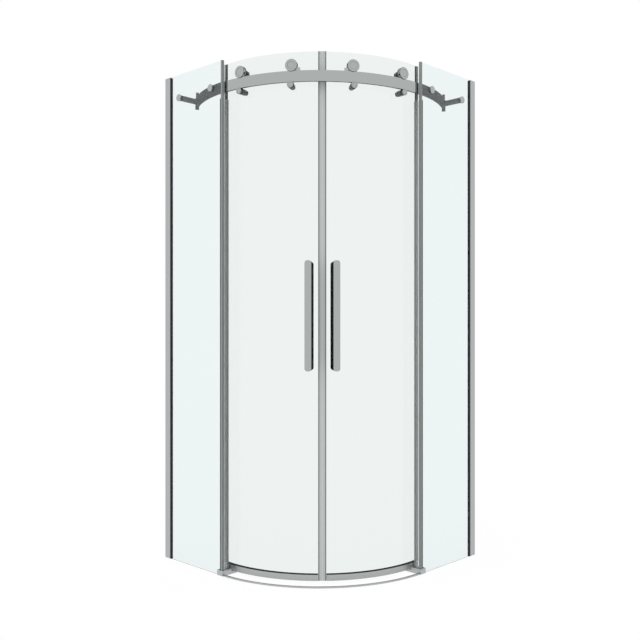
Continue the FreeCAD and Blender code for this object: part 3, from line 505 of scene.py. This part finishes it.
def room_brightness(tree):
    """Two sockets: 1 for rays that look rather than carry light, and the brightness that such a ray meets."""
    rays = add_node(tree, "ShaderNodeLightPath").outputs
    looks = rays["Is Camera Ray"]
    for kind in ("Is Glossy Ray", "Is Transmission Ray"):
        looks = add_node(tree, "ShaderNodeMath", {0: looks, 1: rays[kind]}, operation="MAXIMUM").outputs[0]
    mirrored = add_node(tree, "ShaderNodeMath", {
        0: rays["Glossy Depth"], 1: NOT_ONCE}, operation="GREATER_THAN")
    crossed = add_node(tree, "ShaderNodeMath", {
        0: rays["Transmission Depth"], 1: NOT_ONCE}, operation="GREATER_THAN")
    mirrored_last = add_node(tree, "ShaderNodeMath", {
        0: crossed.outputs[0], 1: rays["Is Transmission Ray"]}, operation="SUBTRACT")
    two_panes = add_node(tree, "ShaderNodeMath", {
        0: rays["Transmission Depth"], 1: ONE_PANE}, operation="GREATER_THAN")
    inside = add_node(tree, "ShaderNodeMath", {
        0: mirrored_last.outputs[0], 1: two_panes.outputs[0]}, operation="MAXIMUM")
    behind = add_node(tree, "ShaderNodeMath", {
        0: mirrored.outputs[0], 1: inside.outputs[0]}, operation="MULTIPLY")
    level = add_node(tree, "ShaderNodeMix", {
        "Factor": behind.outputs[0], VALUE_A: 1.0, VALUE_B: BEHIND_PANE}, data_type="FLOAT")
    return looks, level.outputs[VALUE_MIXED]


print(f"room: 1 in front of the glass, {BEHIND_PANE} to a mirror image behind a pane")

# %% [markdown]
# ## World
# The world lights everything softly from all sides, at a level that keeps colours as they are written. A
# ring of lamps would do that too, but each would show in the steel. To rays that look at it, the world has
# the brightness worked out above.

# %% World
ROOM_LIGHT = 0.62
WHITE = "#ffffff"

world = bpy.data.worlds.new("white_studio")
bpy.context.scene.world = world
world.use_nodes = True
sky = world.node_tree
sky.nodes.clear()
looks, brightness = room_brightness(sky)
level = add_node(sky, "ShaderNodeMix", {
    "Factor": looks, VALUE_A: ROOM_LIGHT, VALUE_B: brightness}, data_type="FLOAT")
glow = add_node(sky, "ShaderNodeBackground", {
    "Color": linear(WHITE), "Strength": level.outputs[VALUE_MIXED]})
add_node(sky, "ShaderNodeOutputWorld", {"Surface": glow.outputs["Background"]})
print(f"world: {len(sky.nodes)} nodes")

# %% [markdown]
# ## Floor
# The floor is a wide sheet of white paper. Even light leaves plain paper a little grey, so to rays that look
# at it most of its brightness is a glow, set so that paper far from the enclosure is exactly white. The rest
# is lit paper, which keeps the soft shadow. Rays that only carry light see plain paper, so the glow adds
# none to the enclosure.

# %% Floor
FLOOR_SIZE = 60.0
FLOOR_COLOUR = "#f2f3f3"
FLOOR_LIT_SHARE = 0.07
FLOOR_GLOW = 1.0122

bpy.ops.mesh.primitive_plane_add(size=FLOOR_SIZE, location=(0, 0, 0))
floor = bpy.context.object
floor.name = "floor"
floor_finish = bpy.data.materials.new("paper_white_matt")
floor_finish.use_nodes = True
tree = floor_finish.node_tree
tree.nodes.clear()
looks, brightness = room_brightness(tree)
share = add_node(tree, "ShaderNodeMath", {0: looks, 1: 1 - FLOOR_LIT_SHARE}, operation="MULTIPLY")
strength = add_node(tree, "ShaderNodeMath", {0: brightness, 1: FLOOR_GLOW}, operation="MULTIPLY")
paper = add_node(tree, "ShaderNodeBsdfDiffuse", {"Color": linear(FLOOR_COLOUR)})
glow = add_node(tree, "ShaderNodeEmission", {"Color": linear(WHITE), "Strength": strength.outputs[0]})
mix = add_node(tree, "ShaderNodeMixShader", {
    "Fac": share.outputs[0], 1: paper.outputs["BSDF"], 2: glow.outputs["Emission"]})
add_node(tree, "ShaderNodeOutputMaterial", {"Surface": mix.outputs["Shader"]})
floor.data.materials.append(floor_finish)
print(f"floor: {FLOOR_SIZE} m wide")

# %% [markdown]
# ## Lamp
# One very broad lamp high on the camera's left gives the rubber and plastics a light and a shaded side. A
# sun lamp lights the whole floor alike, where a lamp close by would leave a bright patch, and its wide angle
# softens shadows.

# %% Lamp
LAMP_TILT = 40.0
LAMP_TURN = 10.0
LAMP_STRENGTH = 1.35
LAMP_ANGLE = 60.0

lamp_data = bpy.data.lights.new("broad_lamp", "SUN")
lamp_data.energy = LAMP_STRENGTH
lamp_data.angle = math.radians(LAMP_ANGLE)
lamp = bpy.data.objects.new("broad_lamp", lamp_data)
bpy.context.scene.collection.objects.link(lamp)
lamp.rotation_euler = (math.radians(LAMP_TILT), 0, math.radians(LAMP_TURN))
lamp.visible_glossy = False
lamp.visible_transmission = False
print(f"lamp: strength {LAMP_STRENGTH}, {LAMP_ANGLE} degrees wide")

# %% [markdown]
# ## Camera
# The picture was taken level, from outside the curved front, just left of the corner's diagonal. Upright
# edges stay upright in it, so the camera does not tilt: it turns a little to the side, and a small shift
# moves the frame. The camera could be placed by eye, but then no edge would quite meet the picture's, so
# these values were fitted to its edges. Distances are in metres, turns in radians and the lens in
# millimetres.

# %% Camera
CORNER = Vector((cad_box[0].x, cad_box[1].y, 0))
CAMERA_DISTANCE = 3.9884
CAMERA_LEFT = 0.01117
CAMERA_TURN = -0.01635
CAMERA_HEIGHT = 0.96476
LENS = 45.958
SENSOR = 36.0
SHIFT = (-0.01963, 0.00096)

outward = Vector((1, -1, 0)).normalized()
leftward = Vector((-1, -1, 0)).normalized()
toward_camera = outward * math.cos(CAMERA_LEFT) + leftward * math.sin(CAMERA_LEFT)
camera_data = bpy.data.cameras.new("camera")
camera_data.lens = LENS
camera_data.sensor_width = SENSOR
camera_data.shift_x, camera_data.shift_y = SHIFT
camera = bpy.data.objects.new("camera", camera_data)
bpy.context.scene.collection.objects.link(camera)
camera.location = CORNER + toward_camera * CAMERA_DISTANCE + Vector((0, 0, CAMERA_HEIGHT))
looking = Matrix.Rotation(CAMERA_TURN, 3, "Z") @ -toward_camera
camera.rotation_euler = looking.to_track_quat("-Z", "Y").to_euler()
bpy.context.scene.camera = camera
bpy.context.scene.view_settings.view_transform = "Standard"
print(f"camera at {tuple(round(c, 3) for c in camera.location)}")
